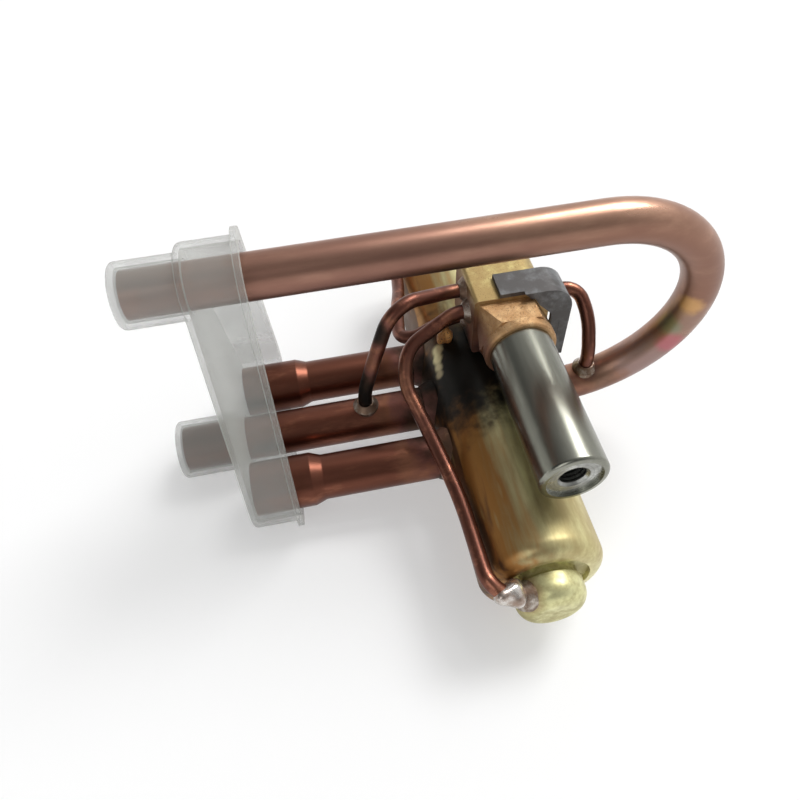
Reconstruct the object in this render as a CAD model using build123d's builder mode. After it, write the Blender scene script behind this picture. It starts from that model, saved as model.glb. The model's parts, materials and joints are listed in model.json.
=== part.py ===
from build123d import *

import os
from math import cos, hypot, radians, sin, sqrt, tan

os.makedirs("parts", exist_ok=True)

# A four-way reversing valve for a small heat pump, in millimetres.
# The barrel lies along Y with its front end at -Y. The three service tubes leave
# towards -X, the discharge tube towards +X. The origin is the barrel's centre.

# Fits
braze_gap = 0.05  # between a brazed piece and its hole
running_gap = 0.05  # between a moving round piece and its bore
slide_gap = 0.1  # between flat sliding faces, and at the end stops
loose_gap = 0.3  # between pieces that must not rub

# Main barrel and its end caps
barrel_radius = 12.25
barrel_wall = 1.2
barrel_half = 45.6
shoulder_radius = 3.4
end_rim = 0.15
end_disc = 2.4
nub_radius = 6.8
nub_length = 6.2
nub_dome = 3.4
nub_undercut = 0.45
nub_step = 0.5
nub_hole_depth = 3.0
nub_turn = 34.0
end_recess = 0.9
gas_hole = 0.9
gas_bore = 1.1

# Service tubes
port_pitch = 13.4
service_radius = 4.76
tube_wall = 0.8
suction_reach = 66.3
socket_reach = 52.6
socket_length = 12.2
socket_gap = 0.07
neck_length = 2.4

# Discharge tube
discharge_radius = 3.97
discharge_reach = 62.9
return_height = 50.2
return_offset = -5.65
bend_start = 17.1

# Port seat, slide and pistons
seat_flat = 5.0
seat_width = 17.0
slide_wall = 1.8
slide_base = 1.9
slide_height = 7.6
slide_width = 14.0
slide_corner = 5.0
slide_dome = 3.0
cavity_depth = 5.6
frame_sheet = 1.2
frame_width = 15.0
frame_tab_top = 6.0
screw_head_radius = 2.6
screw_head = 1.6
screw_radius = 1.5
retainer_radius = 8.6
retainer_sheet = 1.2
cup_sheet = 1.0
cup_lip = 0.8
cup_lip_height = 2.4
spring_sheet = 0.25

# Pilot valve: its axis runs along Y, above the barrel
pilot_x = 5.6
pilot_z = 20.35
sleeve_radius = 6.5
sleeve_wall = 0.7
sleeve_roll = 0.8
sleeve_front = -36.6
sleeve_back = 0.6
sleeve_lip = 1.2
sleeve_seat = 0.4
collar_radius = 8.1
collar_front = -3.4
collar_ring_radius = 7.5
collar_ring = 2.0
block_front = 2.3
block_length = 14.7
block_width = 16.0
block_top = 28.2
block_bottom = 13.4
block_shoulder = 4.0
flare_inset = 0.9
chamber_radius = 5.0
chamber_end = 2.6
core_length = 11.6
core_thread_radius = 2.5
core_thread_depth = 8.0
core_mouth = 0.5
pilot_travel = 2.5
plunger_length = 20.3
plunger_groove = 1.2
spring_wire = 0.6
spring_radius = 2.0
spring_turns = 6
spring_pocket = 8.0
ring_inner = 3.6
ring_outer = 4.5
ring_depth = 1.0
pilot_seat_flat = 2.2
pilot_port = 0.6
pilot_port_pitch = 3.0
slider_width = 5.0
slider_boss = 1.8
carrier_sheet = 1.0
carrier_width = 6.4

# Holes in the pilot block's sides, as (Y, Z)
suction_hole = (10.5, 24.3)
front_hole = (6.8, 21.7)
rear_hole = (9.6, 17.6)
discharge_hole = (10.5, 20.0)

# Pilot bracket, one stamped sheet
bracket_sheet = 1.0
bracket_start = 2.8
bracket_ear = 2.1
bracket_depth = 6.2
bracket_side = 18.1
bracket_bend = 5.6
bracket_knee = 9.6
bracket_foot = 6.6

# Capillaries
capillary_radius = 1.5
capillary_seat = 2.0

# Transport cap
cap_outline = 8.0
cap_slim = 1.05
cap_wall = 1.0
cap_stop = 1.3
cap_depth = 10.2
cap_lip = 1.2
cap_tube_gap = 0.5
cap_tip_gap = 0.3
cap_corner = 1.2

# Derived sizes
bore_radius = barrel_radius - barrel_wall
end_opening = barrel_radius - shoulder_radius - end_rim
inner_half = barrel_half - barrel_wall - end_disc
leg_gap = hypot(return_offset, return_height)
shuttle_half = inner_half - slide_gap - port_pitch / 2
shuttle_rest = -port_pitch / 2
tab_face = screw_head + retainer_sheet + spring_sheet + cup_sheet
seat_half = shuttle_half - port_pitch / 2 - tab_face - frame_sheet - loose_gap
port_radius = service_radius - tube_wall
cap_outer = -socket_reach - cap_stop
cap_inner = cap_outer + cap_depth
tube_seat = seat_flat + 3.0
block_left = pilot_x - block_width / 2
block_right = pilot_x + block_width / 2
block_back = block_front + block_length
sleeve_bore = sleeve_radius - sleeve_wall
sleeve_step = collar_front - collar_ring - braze_gap
core_front = sleeve_front + sleeve_wall
core_back = core_front + core_length
plunger_front = core_back + pilot_travel + slide_gap
plunger_back = plunger_front + plunger_length
nub_hole_y = barrel_half + nub_hole_depth
nub_way = (-cos(radians(nub_turn)), 0, sin(radians(nub_turn)))
service_ports = (-port_pitch, 0, port_pitch)
return_axis = (return_offset, return_height)


def across(y):
    """A plane across the barrel's axis at y, facing the front, with X and Z as its axes."""
    return Plane.XZ.offset(-y)


def tube_end(point, direction):
    """A plane at a tube's end, facing along the tube."""
    return Plane(origin=point, z_dir=direction)


def on_nub(side, radius):
    """A point at this radius on the line of an end cap's capillary hole."""
    return (radius * nub_way[0], side * nub_hole_y, radius * nub_way[2])


def bend_radii(points):
    """The largest comfortable bend radius at each inner point of a tube's route."""
    radii = []
    for before, here, after in zip(points, points[1:], points[2:]):
        run_in = Vector(*here) - Vector(*before)
        run_out = Vector(*after) - Vector(*here)
        half_turn = radians(run_in.get_angle(run_out)) / 2
        radii.append(0.45 * min(run_in.length, run_out.length) / tan(half_turn))
    return radii


# Barrel
with BuildPart() as valve_barrel:
    with BuildSketch(Plane.XY) as barrel_section:
        with BuildLine():
            Polyline(
                (end_opening, -barrel_half),
                (barrel_radius, -barrel_half),
                (barrel_radius, barrel_half),
                (end_opening, barrel_half),
                (end_opening, barrel_half - barrel_wall),
                (bore_radius, barrel_half - barrel_wall),
                (bore_radius, barrel_wall - barrel_half),
                (end_opening, barrel_wall - barrel_half),
                close=True,
            )
        make_face()
        corners = barrel_section.vertices()
        fillet([v for v in corners if abs(v.X - barrel_radius) < 0.01], shoulder_radius)
    revolve(axis=Axis.Y)
    with BuildSketch(Plane.YZ):
        with Locations(*[(y, 0) for y in service_ports]):
            Circle(service_radius + braze_gap)
    extrude(amount=-barrel_radius, mode=Mode.SUBTRACT)
    with BuildSketch(Plane.YZ):
        Circle(discharge_radius + braze_gap)
    extrude(amount=barrel_radius, mode=Mode.SUBTRACT)
valve_barrel.part.label = "valve_barrel"
export_step(valve_barrel.part, "parts/valve_barrel.step")


def end_cap(side):
    """An end cap: a disc inside the barrel, and a domed nub that takes a capillary."""
    disc_radius = bore_radius - braze_gap
    neck = nub_radius - nub_undercut
    tip = barrel_half + nub_length
    with BuildPart() as cap:
        with BuildSketch(Plane.XY) as section:
            with BuildLine():
                Polyline(
                    (0, side * inner_half),
                    (disc_radius, side * inner_half),
                    (disc_radius, side * (barrel_half - barrel_wall)),
                    (end_opening - braze_gap, side * (barrel_half - barrel_wall)),
                    (end_opening - braze_gap, side * (barrel_half - end_recess)),
                    (neck, side * (barrel_half - end_recess)),
                    (neck, side * (barrel_half + nub_step / 2)),
                    (nub_radius, side * (barrel_half + nub_step * 1.5)),
                    (nub_radius, side * tip),
                    (0, side * tip),
                    close=True,
                )
            make_face()
            rim = [v for v in section.vertices() if abs(v.X - nub_radius) < 0.01]
            fillet(max(rim, key=lambda v: abs(v.Y)), nub_dome)
        revolve(axis=Axis.Y)
        with BuildSketch(tube_end(on_nub(side, 0), nub_way)):
            Circle(gas_hole)
        extrude(amount=nub_radius, mode=Mode.SUBTRACT)
        with BuildSketch(tube_end(on_nub(side, nub_radius - capillary_seat), nub_way)):
            Circle(capillary_radius + braze_gap)
        extrude(amount=nub_radius, mode=Mode.SUBTRACT)
        with BuildSketch(tube_end((0, side * inner_half, 0), (0, side, 0))):
            Circle(gas_bore)
        extrude(amount=nub_hole_y - inner_half + gas_bore, mode=Mode.SUBTRACT)
    return cap.part


front_end_cap = end_cap(-1)
front_end_cap.label = "front_end_cap"
export_step(front_end_cap, "parts/front_end_cap.step")

rear_end_cap = end_cap(1)
rear_end_cap.label = "rear_end_cap"
export_step(rear_end_cap, "parts/rear_end_cap.step")

# Port seat, the flat inside the barrel with the three service ports
with BuildPart() as port_seat:
    with BuildSketch(Plane.XZ):
        Circle(bore_radius - braze_gap)
        with Locations((-seat_flat - bore_radius / 2, 0)):
            Rectangle(bore_radius, seat_width, mode=Mode.INTERSECT)
    extrude(amount=seat_half, both=True)
    with BuildSketch(Plane.YZ.offset(-seat_flat)):
        with Locations(*[(y, 0) for y in service_ports]):
            Circle(port_radius)
    extrude(amount=-bore_radius, mode=Mode.SUBTRACT)
    with BuildSketch(Plane.YZ.offset(-tube_seat)):
        with Locations(*[(y, 0) for y in service_ports]):
            Circle(service_radius + braze_gap)
    extrude(amount=-bore_radius, mode=Mode.SUBTRACT)
port_seat.part.label = "port_seat"
export_step(port_seat.part, "parts/port_seat.step")

# Suction tube, plain, with the hole for its capillary on top
suction_hole_x = -26.4
with BuildPart() as suction_tube:
    with BuildSketch(Plane.YZ.offset(-tube_seat)):
        Circle(service_radius)
        Circle(port_radius, mode=Mode.SUBTRACT)
    extrude(amount=tube_seat - suction_reach)
    with BuildSketch(tube_end((suction_hole_x, 0, 0), (0, 0, 1))):
        Circle(capillary_radius + braze_gap)
    extrude(amount=service_radius + 1, mode=Mode.SUBTRACT)
suction_tube.part.label = "suction_tube"
export_step(suction_tube.part, "parts/suction_tube.step")


def socket_tube(y):
    """A service tube with its end expanded into a socket for a tube of the same size."""
    socket_bore = service_radius + socket_gap
    socket_start = socket_reach - socket_length
    neck_start = socket_start - neck_length
    outline = [
        (-tube_seat, y + port_radius),
        (-neck_start, y + port_radius),
        (-socket_start, y + socket_bore),
        (-socket_reach, y + socket_bore),
        (-socket_reach, y + socket_bore + tube_wall),
        (-socket_start, y + socket_bore + tube_wall),
        (-neck_start, y + service_radius),
        (-tube_seat, y + service_radius),
    ]
    with BuildPart() as tube:
        with BuildSketch(Plane.XY):
            with BuildLine():
                Polyline(*outline, close=True)
            make_face()
        revolve(axis=Axis((0, y, 0), (1, 0, 0)))
        turns = tube.edges().filter_by(GeomType.CIRCLE)
        turns = [e for e in turns if neck_start - 0.1 < -e.center().X < socket_start + 0.1]
        fillet(turns, 0.7)
    return tube.part


evaporator_tube = socket_tube(port_pitch)
evaporator_tube.label = "evaporator_tube"
export_step(evaporator_tube, "parts/evaporator_tube.step")

condenser_tube = socket_tube(-port_pitch)
condenser_tube.label = "condenser_tube"
export_step(condenser_tube, "parts/condenser_tube.step")

# Discharge tube: out of the barrel, through a half turn, and back over the pilot valve
discharge_hole_x = 24.0
bend_radius = leg_gap / 2
bend_rise = bend_radius - sqrt(bend_radius**2 - (discharge_hole_x - bend_start) ** 2)
leg_up = (0, return_offset / leg_gap, return_height / leg_gap)
bend_plane = Plane(origin=(0, 0, 0), x_dir=(1, 0, 0), z_dir=(0, -leg_up[2], leg_up[1]))
discharge_seat = sqrt(bore_radius**2 - discharge_radius**2)
with BuildLine(bend_plane) as discharge_line:
    Line((discharge_seat, 0), (bend_start, 0))
    ThreePointArc(
        (bend_start, 0),
        (bend_start + bend_radius, bend_radius),
        (bend_start, leg_gap),
    )
    Line((bend_start, leg_gap), (-discharge_reach, leg_gap))
with BuildPart() as discharge_tube:
    with BuildSketch(tube_end((discharge_seat, 0, 0), (1, 0, 0))):
        Circle(discharge_radius)
        Circle(discharge_radius - tube_wall, mode=Mode.SUBTRACT)
    sweep(path=discharge_line.line)
    with BuildSketch(tube_end((discharge_hole_x, 0, bend_rise), (0, 0, 1))):
        Circle(capillary_radius + braze_gap)
    extrude(amount=discharge_radius + 1, mode=Mode.SUBTRACT)
discharge_tube.part.label = "discharge_tube"
export_step(discharge_tube.part, "parts/discharge_tube.step")

# Pilot body: a square brass block, a collar that grows from a hexagon into the block's left
# side, and a ring for the sleeve
hexagon_side = collar_radius / 2
hexagon_top = collar_radius * sqrt(3) / 2
with BuildPart() as pilot_body:
    with BuildSketch(across(block_back)):
        with Locations((pilot_x, (block_top + block_bottom) / 2)):
            Rectangle(block_width, block_top - block_bottom)
    extrude(amount=block_length)
    upright_edges = pilot_body.edges().filter_by(Axis.Y).sort_by_distance((block_right, 0, block_top))
    fillet(upright_edges[0], block_shoulder)
    fillet(upright_edges[1:], 0.8)
    with BuildSketch(across(block_front)):
        with BuildLine():
            Polyline(
                (pilot_x + collar_radius, pilot_z),
                (pilot_x + hexagon_side, pilot_z + hexagon_top),
                (block_left + flare_inset, block_top - flare_inset),
                (block_left + flare_inset, pilot_z),
                (block_left + flare_inset * 2, pilot_z - hexagon_top),
                (pilot_x + hexagon_side, pilot_z - hexagon_top),
                close=True,
            )
        make_face()
    with BuildSketch(across(collar_front)):
        with Locations((pilot_x, pilot_z)):
            RegularPolygon(collar_radius, 6)
    loft()
    with BuildSketch(across(collar_front)):
        with Locations((pilot_x, pilot_z)):
            Circle(collar_ring_radius)
    extrude(amount=collar_ring)
    ring_edge = pilot_body.faces().sort_by(Axis.Y)[0].edges()
    fillet(ring_edge, 0.6)
    with BuildSketch(across(sleeve_back)):
        with Locations((pilot_x, pilot_z)):
            Circle(sleeve_radius - sleeve_seat + braze_gap)
    extrude(amount=sleeve_back - collar_front + collar_ring, mode=Mode.SUBTRACT)
    with BuildSketch(across(block_back - chamber_end)):
        with Locations((pilot_x, pilot_z)):
            Circle(chamber_radius)
    extrude(amount=block_back - chamber_end - sleeve_back, mode=Mode.SUBTRACT)
    for y, z in (suction_hole, front_hole, rear_hole):
        with BuildSketch(tube_end((block_left + capillary_seat, y, z), (-1, 0, 0))):
            Circle(capillary_radius + braze_gap)
        extrude(amount=capillary_seat, mode=Mode.SUBTRACT)
    with BuildSketch(tube_end((block_right - capillary_seat, *discharge_hole), (1, 0, 0))):
        Circle(capillary_radius + braze_gap)
    extrude(amount=capillary_seat, mode=Mode.SUBTRACT)
pilot_body.part.label = "pilot_body"
export_step(pilot_body.part, "parts/pilot_body.step")

# Plunger sleeve: a thin tube, its front end rolled over the fixed core
with BuildPart() as plunger_sleeve:
    with BuildSketch(Plane.XY.offset(pilot_z)) as sleeve_section:
        with BuildLine():
            Polyline(
                (pilot_x + sleeve_bore, sleeve_back),
                (pilot_x + sleeve_radius - sleeve_seat, sleeve_back),
                (pilot_x + sleeve_radius - sleeve_seat, sleeve_step),
                (pilot_x + sleeve_radius, sleeve_step),
                (pilot_x + sleeve_radius, sleeve_front),
                (pilot_x + sleeve_radius - sleeve_lip, sleeve_front),
                (pilot_x + sleeve_radius - sleeve_lip, core_front),
                (pilot_x + sleeve_bore, core_front),
                close=True,
            )
        make_face()
        rolled = sleeve_section.vertices().sort_by(Axis.Y)[:2].sort_by(Axis.X)[-1]
        fillet(rolled, sleeve_roll)
    revolve(axis=Axis((pilot_x, 0, pilot_z), (0, 1, 0)))
plunger_sleeve.part.label = "plunger_sleeve"
export_step(plunger_sleeve.part, "parts/plunger_sleeve.step")

# Fixed core: closes the sleeve, and its threaded hole holds a coil
with BuildPart() as fixed_core:
    with BuildSketch(across(core_back)):
        with Locations((pilot_x, pilot_z)):
            Circle(sleeve_bore - braze_gap)
    extrude(amount=core_length)
    with BuildSketch(across(core_front + core_thread_depth)):
        with Locations((pilot_x, pilot_z)):
            Circle(core_thread_radius)
    extrude(amount=core_thread_depth, mode=Mode.SUBTRACT)
    mouth = fixed_core.faces().sort_by(Axis.Y)[0].inner_wires()[0].edges()
    chamfer(mouth, core_mouth)
    with BuildSketch(across(core_back)):
        with Locations((pilot_x, pilot_z)):
            Circle(ring_outer)
            Circle(ring_inner, mode=Mode.SUBTRACT)
    extrude(amount=ring_depth, mode=Mode.SUBTRACT)
fixed_core.part.label = "fixed_core"
export_step(fixed_core.part, "parts/fixed_core.step")

# Shading ring, pressed into the core's inner face
with BuildPart() as shading_ring:
    with BuildSketch(across(core_back)):
        with Locations((pilot_x, pilot_z)):
            Circle(ring_outer - braze_gap)
            Circle(ring_inner + braze_gap, mode=Mode.SUBTRACT)
    extrude(amount=ring_depth)
shading_ring.part.label = "shading_ring"
export_step(shading_ring.part, "parts/shading_ring.step")

# Pilot plunger, with a spring pocket in front and grooves that let gas pass
plunger_radius = sleeve_bore - running_gap
with BuildPart() as pilot_plunger:
    with BuildSketch(across(plunger_back)):
        with Locations((pilot_x, pilot_z)):
            Circle(plunger_radius)
        with Locations((pilot_x, pilot_z + plunger_radius), (pilot_x, pilot_z - plunger_radius)):
            Rectangle(plunger_groove, plunger_groove * 2, mode=Mode.SUBTRACT)
    extrude(amount=plunger_length)
    with BuildSketch(across(plunger_front)):
        with Locations((pilot_x, pilot_z)):
            Circle(spring_radius + spring_wire)
    extrude(amount=-spring_pocket, mode=Mode.SUBTRACT)
    with BuildSketch(across(plunger_back)):
        with Locations((pilot_x, pilot_z)):
            Rectangle(carrier_sheet + 2 * braze_gap, carrier_width + 2 * braze_gap)
    extrude(amount=3.0, mode=Mode.SUBTRACT)
pilot_plunger.part.label = "pilot_plunger"
export_step(pilot_plunger.part, "parts/pilot_plunger.step")

# Plunger spring, between the fixed core and the bottom of the plunger's pocket
spring_from = core_back + spring_wire / 2 + slide_gap
spring_to = plunger_front + spring_pocket - spring_wire / 2 - slide_gap
spring_length = spring_to - spring_from
with BuildPart() as plunger_spring:
    with BuildLine() as coil:
        Helix(
            pitch=spring_length / spring_turns,
            height=spring_length,
            radius=spring_radius,
            center=(pilot_x, spring_from, pilot_z),
            direction=(0, 1, 0),
        )
    with BuildSketch(tube_end(coil.line @ 0, coil.line % 0)):
        RegularPolygon(spring_wire / 2, 8)
    sweep(path=coil.line, is_frenet=True)
plunger_spring.part.label = "plunger_spring"
export_step(plunger_spring.part, "parts/plunger_spring.step")

# Pilot seat, with its three small ports
with BuildPart() as pilot_seat:
    seat_from = sleeve_back + 2.0
    seat_to = block_back - chamber_end
    with BuildSketch(across(seat_to)):
        with Locations((pilot_x, pilot_z)):
            Circle(chamber_radius - braze_gap)
        with Locations((pilot_x - pilot_seat_flat - chamber_radius / 2, pilot_z)):
            Rectangle(chamber_radius, chamber_radius * 2, mode=Mode.INTERSECT)
    extrude(amount=seat_to - seat_from)
    ports_y = (seat_from + seat_to) / 2
    with BuildSketch(Plane.YZ.offset(pilot_x - pilot_seat_flat)):
        with Locations(*[(ports_y + step * pilot_port_pitch, pilot_z) for step in (-1, 0, 1)]):
            Circle(pilot_port)
    extrude(amount=-chamber_radius, mode=Mode.SUBTRACT)
pilot_seat.part.label = "pilot_seat"
export_step(pilot_seat.part, "parts/pilot_seat.step")

# Pilot slider, on the seat, held by its boss in the carrier
slider_y = ports_y + pilot_port_pitch / 2
slider_face = pilot_x - pilot_seat_flat + slide_gap
carrier_face = pilot_x - carrier_sheet / 2
slider_length = pilot_port_pitch + 2 * pilot_port + 2.0
with BuildPart() as pilot_slider:
    with BuildSketch(Plane.YZ.offset(slider_face)):
        with Locations((slider_y, pilot_z)):
            RectangleRounded(slider_length, slider_width, 0.8)
    extrude(amount=carrier_face - slide_gap - slider_face)
    with BuildSketch(Plane.YZ.offset(slider_face)):
        with Locations((slider_y, pilot_z)):
            SlotOverall(slider_length - 1.4, 2 * pilot_port + 0.8)
    extrude(amount=0.8, mode=Mode.SUBTRACT)
    with BuildSketch(Plane.YZ.offset(carrier_face - slide_gap)):
        with Locations((slider_y, pilot_z)):
            Circle(slider_boss)
    extrude(amount=carrier_sheet + 2 * slide_gap)
pilot_slider.part.label = "pilot_slider"
export_step(pilot_slider.part, "parts/pilot_slider.step")

# Slider carrier, a strip fixed in the plunger's slot
with BuildPart() as slider_carrier:
    carrier_from = plunger_back - 3.0 + braze_gap
    carrier_to = slider_y + slider_length / 2
    with BuildSketch(Plane.YZ.offset(carrier_face)):
        with Locations(((carrier_from + carrier_to) / 2, pilot_z)):
            RectangleRounded(carrier_to - carrier_from, carrier_width, 1.0)
        with Locations((slider_y, pilot_z)):
            Circle(slider_boss + braze_gap, mode=Mode.SUBTRACT)
    extrude(amount=carrier_sheet)
slider_carrier.part.label = "slider_carrier"
export_step(slider_carrier.part, "parts/slider_carrier.step")

# Pilot bracket: one sheet over the block's corner, down to the barrel, with a front ear
bracket_top = block_top + bracket_sheet + braze_gap
bracket_front = block_front - braze_gap
knee = (bracket_side, bracket_knee)
foot_radius = barrel_radius + braze_gap
foot_x = sqrt(foot_radius**2 - bracket_foot**2)
with BuildPart() as pilot_bracket:
    with BuildSketch(across(bracket_front + bracket_depth)):
        with BuildLine():
            FilletPolyline(
                (bracket_start, bracket_top),
                (bracket_side, bracket_top),
                knee,
                (foot_x + bracket_sheet, bracket_foot),
                radius=[bracket_bend, 2.0],
            )
            offset(amount=bracket_sheet, side=Side.RIGHT)
        make_face()
    extrude(amount=bracket_depth)
    with BuildSketch(across(bracket_front)) as ear:
        with BuildLine():
            Polyline(
                (pilot_x + 2, bracket_top),
                (bracket_side, bracket_top),
                knee,
                (bracket_side - bracket_ear, bracket_knee),
                (bracket_side - bracket_ear, pilot_z),
                close=True,
            )
        make_face()
        fillet(ear.vertices().sort_by_distance((bracket_side, bracket_top))[0], bracket_bend)
        with Locations((pilot_x, pilot_z)):
            RegularPolygon(collar_radius + loose_gap, 6, mode=Mode.SUBTRACT)
    extrude(amount=bracket_sheet)
    with BuildSketch(Plane.XZ):
        Circle(foot_radius)
    extrude(amount=barrel_half, both=True, mode=Mode.SUBTRACT)
pilot_bracket.part.label = "pilot_bracket"
export_step(pilot_bracket.part, "parts/pilot_bracket.step")

# Capillary routes, from the pilot body to their ends
hole_inside = block_left + capillary_seat
hole_outside = block_left - 3.0
nub_inside = nub_radius - capillary_seat
over_barrel = barrel_radius + 2.35
suction_route = [
    (hole_inside, *suction_hole),
    (hole_outside, *suction_hole),
    (-18.8, 3.5, 30.0),
    (-23.8, 1.2, 17.0),
    (suction_hole_x, 0, 9.0),
    (suction_hole_x, 0, port_radius),
]
front_route = [
    (hole_inside, *front_hole),
    (hole_outside, *front_hole),
    (-16.4, 2.2, 18.4),
    (-18.3, -3.6, 14.2),
    (-14.4, -16.5, 8.2),
    (-12.3, -29.0, 6.9),
    on_nub(-1, over_barrel),
    on_nub(-1, nub_inside),
]
rear_route = [
    (hole_inside, *rear_hole),
    (hole_outside, *rear_hole),
    (-16.8, 8.2, 12.8),
    (-15.4, 20.0, 11.4),
    (-12.3, 33.0, 7.4),
    on_nub(1, over_barrel),
    on_nub(1, nub_inside),
]
discharge_route = [
    (block_right - capillary_seat, *discharge_hole),
    (23.4, *discharge_hole),
    (24.6, 4.6, 15.8),
    (discharge_hole_x, 0, 9.6),
    (discharge_hole_x, 0, bend_rise + discharge_radius - tube_wall),
]


def capillary(route):
    """A capillary along a route, with round bends. Its hair-thin bore is left solid."""
    with BuildLine() as path:
        FilletPolyline(*route, radius=bend_radii(route))
    with BuildPart() as tube:
        with BuildSketch(tube_end(path.line @ 0, path.line % 0)):
            Circle(capillary_radius)
        sweep(path=path.line)
    return tube.part


suction_capillary = capillary(suction_route)
suction_capillary.label = "suction_capillary"
export_step(suction_capillary, "parts/suction_capillary.step")

front_capillary = capillary(front_route)
front_capillary.label = "front_capillary"
export_step(front_capillary, "parts/front_capillary.step")

rear_capillary = capillary(rear_route)
rear_capillary.label = "rear_capillary"
export_step(rear_capillary, "parts/rear_capillary.step")

discharge_capillary = capillary(discharge_route)
discharge_capillary.label = "discharge_capillary"
export_step(discharge_capillary, "parts/discharge_capillary.step")

# Braze rings where the four large tubes enter the barrel
ring_height = 3.0
ring_spread = 1.6
with BuildPart() as tube_brazing:
    for y in service_ports:
        with BuildSketch(Plane.YZ.offset(-barrel_radius - ring_height / 2)):
            with Locations((y, 0)):
                Circle(service_radius + 0.2)
        with BuildSketch(Plane.YZ.offset(ring_height / 2 - barrel_radius)):
            with Locations((y, 0)):
                Circle(service_radius + ring_spread)
        loft()
    with BuildSketch(Plane.YZ.offset(barrel_radius + ring_height / 2)):
        Circle(discharge_radius + 0.2)
    with BuildSketch(Plane.YZ.offset(barrel_radius - ring_height / 2)):
        Circle(discharge_radius + ring_spread)
    loft()
    with BuildSketch(Plane.XZ):
        Circle(barrel_radius)
    extrude(amount=barrel_half, both=True, mode=Mode.SUBTRACT)
    with BuildSketch(Plane.YZ):
        with Locations(*[(y, 0) for y in service_ports]):
            Circle(service_radius)
    extrude(amount=-barrel_radius * 2, mode=Mode.SUBTRACT)
    with BuildSketch(Plane.YZ):
        Circle(discharge_radius)
    extrude(amount=barrel_radius * 2, mode=Mode.SUBTRACT)
tube_brazing.part.label = "tube_brazing"
export_step(tube_brazing.part, "parts/tube_brazing.step")

# Braze beads where the capillaries enter the block, the tubes and the nubs
bead_spread = 1.3
bead_height = 1.2
bead_depth = 1.4
bead_places = (
    ((block_left, *suction_hole), (-1, 0, 0)),
    ((block_left, *front_hole), (-1, 0, 0)),
    ((block_left, *rear_hole), (-1, 0, 0)),
    ((block_right, *discharge_hole), (1, 0, 0)),
    ((suction_hole_x, 0, service_radius), (0, 0, 1)),
    ((discharge_hole_x, 0, bend_rise + discharge_radius), (0, 0, 1)),
    (on_nub(-1, nub_radius), nub_way),
    (on_nub(1, nub_radius), nub_way),
)
with BuildPart() as capillary_brazing:
    for place, way in bead_places:
        with BuildSketch(tube_end(place, way).offset(-bead_depth)):
            Circle(capillary_radius + bead_spread)
        extrude(amount=bead_depth)
        with BuildSketch(tube_end(place, way)):
            Circle(capillary_radius + bead_spread)
        with BuildSketch(tube_end(place, way).offset(bead_height)):
            Circle(capillary_radius + braze_gap + 0.2)
        loft()
    for place, way in bead_places:
        with BuildSketch(tube_end(place, way).offset(-bead_depth)):
            Circle(capillary_radius + braze_gap)
        extrude(amount=bead_depth + bead_height, mode=Mode.SUBTRACT)
    with BuildSketch(across(block_back)):
        with Locations((pilot_x, (block_top + block_bottom) / 2)):
            Rectangle(block_width, block_top - block_bottom)
    extrude(amount=block_length, mode=Mode.SUBTRACT)
    with BuildSketch(tube_end((0, 0, 0), (-1, 0, 0))):
        Circle(service_radius)
    extrude(amount=suction_reach, mode=Mode.SUBTRACT)
    with BuildSketch(tube_end((discharge_seat, 0, 0), (1, 0, 0))):
        Circle(discharge_radius)
    sweep(path=discharge_line.line, mode=Mode.SUBTRACT)
    add(front_end_cap, mode=Mode.SUBTRACT)
    add(rear_end_cap, mode=Mode.SUBTRACT)
capillary_brazing.part.label = "capillary_brazing"
export_step(capillary_brazing.part, "parts/capillary_brazing.step")

# Slide block: a domed slide over two of the three ports, centred on the shuttle
cavity_length = port_pitch + 2 * port_radius
slide_length = cavity_length + 2 * slide_wall
dome_width = slide_width - slide_dome
slide_back = -seat_flat + slide_gap
with BuildPart() as slide_block:
    with BuildSketch(Plane.YZ.offset(slide_back)):
        with Locations((shuttle_rest, 0)):
            RectangleRounded(slide_length + 1.6, slide_width, 1.5)
    extrude(amount=slide_base)
    with BuildSketch(Plane.YZ.offset(slide_back)):
        with Locations((shuttle_rest, 0)):
            RectangleRounded(slide_length, dome_width, slide_corner)
    extrude(amount=slide_height)
    fillet(slide_block.faces().sort_by(Axis.X)[-1].edges(), 1.4)
    with BuildSketch(Plane.YZ.offset(slide_back)):
        with Locations((shuttle_rest, 0)):
            SlotOverall(cavity_length, 2 * port_radius)
    extrude(amount=cavity_depth, mode=Mode.SUBTRACT)
slide_block.part.label = "slide_block"
export_step(slide_block.part, "parts/slide_block.step")

# Slide frame: a stamped strip with a window for the slide and a bent tab at each piston
frame_x = slide_back + slide_base + slide_gap
tab_y = shuttle_half - tab_face
with BuildPart() as slide_frame:
    with BuildSketch(Plane.YZ.offset(frame_x)):
        with Locations((shuttle_rest, 0)):
            Rectangle(2 * tab_y, frame_width)
            RectangleRounded(
                slide_length + 2 * slide_gap,
                dome_width + 2 * slide_gap,
                slide_corner,
                mode=Mode.SUBTRACT,
            )
    extrude(amount=frame_sheet)
    for side in (-1, 1):
        with BuildSketch(across(shuttle_rest + side * tab_y)):
            with Locations(((frame_x + frame_tab_top) / 2, 0)):
                Rectangle(frame_tab_top - frame_x, frame_width)
            Circle(screw_radius + braze_gap, mode=Mode.SUBTRACT)
        extrude(amount=side * frame_sheet)
slide_frame.part.label = "slide_frame"
export_step(slide_frame.part, "parts/slide_frame.step")


def turned(side, outline):
    """A round piece of one piston: outline holds (depth from the piston's face, radius)."""
    face = shuttle_rest + side * shuttle_half
    with BuildPart() as piece:
        with BuildSketch(Plane.XY):
            with BuildLine():
                Polyline(*[(radius, face - side * depth) for depth, radius in outline], close=True)
            make_face()
        revolve(axis=Axis.Y)
    return piece.part


def piston_plate(side):
    """The plate that clamps the cup against the frame's tab."""
    back = screw_head + retainer_sheet
    hole = screw_radius + braze_gap
    return turned(
        side,
        [(screw_head, hole), (screw_head, retainer_radius), (back, retainer_radius), (back, hole)],
    )


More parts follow.
